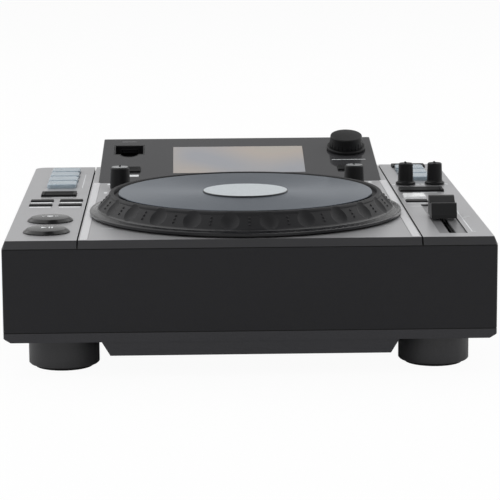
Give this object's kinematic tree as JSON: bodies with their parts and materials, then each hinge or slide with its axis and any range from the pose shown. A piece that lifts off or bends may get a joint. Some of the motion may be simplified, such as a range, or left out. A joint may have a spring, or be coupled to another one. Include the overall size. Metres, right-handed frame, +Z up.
{
  "type": "tabletop dj player",
  "caption": "Tabletop DJ player with a dimpled jog wheel, a wedge hood with a screen, pads and keys on the left, and knobs and a pitch fader on the right.",
  "frame": {"origin": "on the ground, at the middle of the whole outline seen from above", "axes": "+X to the user's right, +Y from the front panel to the rear, +Z up"},
  "size_m": [0.32, 0.353, 0.1199],
  "materials": {
    "bottom_pan": "powder coat",
    "body_shell": "fine satin",
    "centre_deck": "satin metallic",
    "left_control_panel": "satin metallic",
    "right_control_panel": "satin metallic",
    "deck_trim_strips": "satin",
    "display_hood": "semi-gloss",
    "display_glass": "clear",
    "display_module": "plain",
    "usb_bezel": "fine grain",
    "usb_socket": "plated",
    "rear_panel": "powder coat",
    "power_inlet": "moulded",
    "audio_sockets": "plated",
    "data_sockets": "plated",
    "fader_plate": "satin",
    "fader_module": "plated",
    "main_board": "board",
    "power_supply": "board",
    "button_boards": "board",
    "knob_potentiometers": "plated",
    "browse_encoder": "plain",
    "jog_bearing_housing": "plain",
    "jog_bearings": "polished",
    "foot_bodies": "satin",
    "foot_soles": "matte",
    "case_screws": "blackened",
    "jog_grip_ring": "soft satin",
    "jog_platter": "spun",
    "jog_label_disc": "satin",
    "jog_spindle": "ground",
    "jog_encoder_disc": "plain",
    "browse_plunger": "ground",
    "browse_knob": "satin",
    "deck_knob_left": "satin",
    "deck_knob_right": "satin",
    "start_knob": "satin",
    "stop_knob": "satin",
    "left_pad_1": "milky",
    "left_pad_2": "milky",
    "left_pad_3": "milky",
    "left_pad_4": "milky",
    "right_pad_1": "milky",
    "right_pad_2": "milky",
    "right_pad_3": "milky",
    "small_key_1": "gloss",
    "small_key_2": "gloss",
    "small_key_3": "gloss",
    "small_key_4": "gloss",
    "left_wide_key": "gloss",
    "right_rear_key": "gloss",
    "right_wide_key": "gloss",
    "right_small_key": "gloss",
    "hood_key_left": "gloss",
    "hood_key_right": "gloss",
    "cue_button": "gloss",
    "play_button": "gloss",
    "right_white_key": "milky",
    "fader_cap": "satin",
    "power_rocker": "gloss"
  },
  "bodies": {
    "case": {"bottom_pan": "bottom_pan", "body_shell": "body_shell", "centre_deck": "centre_deck", "left_control_panel": "left_control_panel", "right_control_panel": "right_control_panel", "deck_trim_strips": "deck_trim_strips", "display_hood": "display_hood", "display_glass": "display_glass", "display_module": "display_module", "usb_bezel": "usb_bezel", "usb_socket": "usb_socket", "rear_panel": "rear_panel", "power_inlet": "power_inlet", "audio_sockets": "audio_sockets", "data_sockets": "data_sockets", "fader_plate": "fader_plate", "fader_module": "fader_module", "main_board": "main_board", "power_supply": "power_supply", "button_boards": "button_boards", "knob_potentiometers": "knob_potentiometers", "browse_encoder": "browse_encoder", "jog_bearing_housing": "jog_bearing_housing", "jog_bearings": "jog_bearings", "foot_bodies": "foot_bodies", "foot_soles": "foot_soles", "case_screws": "case_screws"},
    "jog_wheel": {"jog_grip_ring": "jog_grip_ring", "jog_platter": "jog_platter", "jog_label_disc": "jog_label_disc", "jog_spindle": "jog_spindle", "jog_encoder_disc": "jog_encoder_disc"},
    "browse_plunger_body": {"browse_plunger": "browse_plunger"},
    "browse_knob_body": {"browse_knob": "browse_knob"},
    "deck_knob_left_body": {"deck_knob_left": "deck_knob_left"},
    "deck_knob_right_body": {"deck_knob_right": "deck_knob_right"},
    "start_knob_body": {"start_knob": "start_knob"},
    "stop_knob_body": {"stop_knob": "stop_knob"},
    "left_pad_1_body": {"left_pad_1": "left_pad_1"},
    "left_pad_2_body": {"left_pad_2": "left_pad_2"},
    "left_pad_3_body": {"left_pad_3": "left_pad_3"},
    "left_pad_4_body": {"left_pad_4": "left_pad_4"},
    "right_pad_1_body": {"right_pad_1": "right_pad_1"},
    "right_pad_2_body": {"right_pad_2": "right_pad_2"},
    "right_pad_3_body": {"right_pad_3": "right_pad_3"},
    "small_key_1_body": {"small_key_1": "small_key_1"},
    "small_key_2_body": {"small_key_2": "small_key_2"},
    "small_key_3_body": {"small_key_3": "small_key_3"},
    "small_key_4_body": {"small_key_4": "small_key_4"},
    "left_wide_key_body": {"left_wide_key": "left_wide_key"},
    "right_rear_key_body": {"right_rear_key": "right_rear_key"},
    "right_wide_key_body": {"right_wide_key": "right_wide_key"},
    "right_small_key_body": {"right_small_key": "right_small_key"},
    "hood_key_left_body": {"hood_key_left": "hood_key_left"},
    "hood_key_right_body": {"hood_key_right": "hood_key_right"},
    "cue_button_body": {"cue_button": "cue_button"},
    "play_button_body": {"play_button": "play_button"},
    "right_white_key_body": {"right_white_key": "right_white_key"},
    "fader_cap_body": {"fader_cap": "fader_cap"},
    "power_rocker_body": {"power_rocker": "power_rocker"}
  },
  "joints": [
    {"name": "jog_spin", "type": "hinge", "parent": "case", "child": "jog_wheel", "pos_m": [0, -0.064, 0.0896], "axis": [0, 0, 1], "continuous": true},
    {"name": "browse_push", "type": "slide", "parent": "case", "child": "browse_plunger_body", "axis": [0, 0.2528, -0.9675], "range_m": [0, 0.0006], "stiffness_N_per_m": 4000, "springref_m": -0.0004},
    {"name": "browse_turn", "type": "hinge", "parent": "browse_plunger_body", "child": "browse_knob_body", "pos_m": [0.0842, 0.14211, 0.10586], "axis": [0, -0.2528, 0.9675], "continuous": true},
    {"name": "deck_knob_left_turn", "type": "hinge", "parent": "case", "child": "deck_knob_left_body", "pos_m": [-0.0895, 0.0555, 0.0896], "axis": [0, 0, 1], "range_deg": [-150, 150]},
    {"name": "deck_knob_right_turn", "type": "hinge", "parent": "case", "child": "deck_knob_right_body", "pos_m": [0.0842, 0.0555, 0.0896], "axis": [0, 0, 1], "range_deg": [-150, 150]},
    {"name": "start_knob_turn", "type": "hinge", "parent": "case", "child": "start_knob_body", "pos_m": [0.1229, 0.0595, 0.0896], "axis": [0, 0, 1], "range_deg": [-150, 150]},
    {"name": "stop_knob_turn", "type": "hinge", "parent": "case", "child": "stop_knob_body", "pos_m": [0.1445, 0.0595, 0.0896], "axis": [0, 0, 1], "range_deg": [-150, 150]},
    {"name": "left_pad_1_press", "type": "slide", "parent": "case", "child": "left_pad_1_body", "axis": [0, 0, -1], "range_m": [0, 0.001], "stiffness_N_per_m": 700, "springref_m": -0.0008},
    {"name": "left_pad_2_press", "type": "slide", "parent": "case", "child": "left_pad_2_body", "axis": [0, 0, -1], "range_m": [0, 0.001], "stiffness_N_per_m": 700, "springref_m": -0.0008},
    {"name": "left_pad_3_press", "type": "slide", "parent": "case", "child": "left_pad_3_body", "axis": [0, 0, -1], "range_m": [0, 0.001], "stiffness_N_per_m": 700, "springref_m": -0.0008},
    {"name": "left_pad_4_press", "type": "slide", "parent": "case", "child": "left_pad_4_body", "axis": [0, 0, -1], "range_m": [0, 0.001], "stiffness_N_per_m": 700, "springref_m": -0.0008},
    {"name": "right_pad_1_press", "type": "slide", "parent": "case", "child": "right_pad_1_body", "axis": [0, 0, -1], "range_m": [0, 0.001], "stiffness_N_per_m": 700, "springref_m": -0.0008},
    {"name": "right_pad_2_press", "type": "slide", "parent": "case", "child": "right_pad_2_body", "axis": [0, 0, -1], "range_m": [0, 0.001], "stiffness_N_per_m": 700, "springref_m": -0.0008},
    {"name": "right_pad_3_press", "type": "slide", "parent": "case", "child": "right_pad_3_body", "axis": [0, 0, -1], "range_m": [0, 0.001], "stiffness_N_per_m": 700, "springref_m": -0.0008},
    {"name": "small_key_1_press", "type": "slide", "parent": "case", "child": "small_key_1_body", "axis": [0, 0, -1], "range_m": [0, 0.0008], "stiffness_N_per_m": 700, "springref_m": -0.0008},
    {"name": "small_key_2_press", "type": "slide", "parent": "case", "child": "small_key_2_body", "axis": [0, 0, -1], "range_m": [0, 0.0008], "stiffness_N_per_m": 700, "springref_m": -0.0008},
    {"name": "small_key_3_press", "type": "slide", "parent": "case", "child": "small_key_3_body", "axis": [0, 0, -1], "range_m": [0, 0.0008], "stiffness_N_per_m": 700, "springref_m": -0.0008},
    {"name": "small_key_4_press", "type": "slide", "parent": "case", "child": "small_key_4_body", "axis": [0, 0, -1], "range_m": [0, 0.0008], "stiffness_N_per_m": 700, "springref_m": -0.0008},
    {"name": "left_wide_key_press", "type": "slide", "parent": "case", "child": "left_wide_key_body", "axis": [0, 0, -1], "range_m": [0, 0.0008], "stiffness_N_per_m": 700, "springref_m": -0.0008},
    {"name": "right_rear_key_press", "type": "slide", "parent": "case", "child": "right_rear_key_body", "axis": [0, 0, -1], "range_m": [0, 0.0008], "stiffness_N_per_m": 700, "springref_m": -0.0008},
    {"name": "right_wide_key_press", "type": "slide", "parent": "case", "child": "right_wide_key_body", "axis": [0, 0, -1], "range_m": [0, 0.0008], "stiffness_N_per_m": 700, "springref_m": -0.0008},
    {"name": "right_small_key_press", "type": "slide", "parent": "case", "child": "right_small_key_body", "axis": [0, 0, -1], "range_m": [0, 0.0008], "stiffness_N_per_m": 700, "springref_m": -0.0008},
    {"name": "right_white_key_press", "type": "slide", "parent": "case", "child": "right_white_key_body", "axis": [0, 0, -1], "range_m": [0, 0.0008], "stiffness_N_per_m": 700, "springref_m": -0.0008},
    {"name": "cue_button_press", "type": "slide", "parent": "case", "child": "cue_button_body", "axis": [0, 0, -1], "range_m": [0, 0.0012], "stiffness_N_per_m": 700, "springref_m": -0.0008},
    {"name": "play_button_press", "type": "slide", "parent": "case", "child": "play_button_body", "axis": [0, 0, -1], "range_m": [0, 0.0012], "stiffness_N_per_m": 700, "springref_m": -0.0008},
    {"name": "hood_key_left_press", "type": "slide", "parent": "case", "child": "hood_key_left_body", "axis": [0, 0.2528, -0.9675], "range_m": [0, 0.0008], "stiffness_N_per_m": 700, "springref_m": -0.0008},
    {"name": "hood_key_right_press", "type": "slide", "parent": "case", "child": "hood_key_right_body", "axis": [0, 0.2528, -0.9675], "range_m": [0, 0.0008], "stiffness_N_per_m": 700, "springref_m": -0.0008},
    {"name": "fader_slide", "type": "slide", "parent": "case", "child": "fader_cap_body", "axis": [0, 1, 0], "range_m": [-0.056, 0.044]},
    {"name": "power_rock", "type": "hinge", "parent": "case", "child": "power_rocker_body", "pos_m": [-0.09, 0.1643, 0.055], "axis": [1, 0, 0], "range_deg": [-7, 7]}
  ]
}
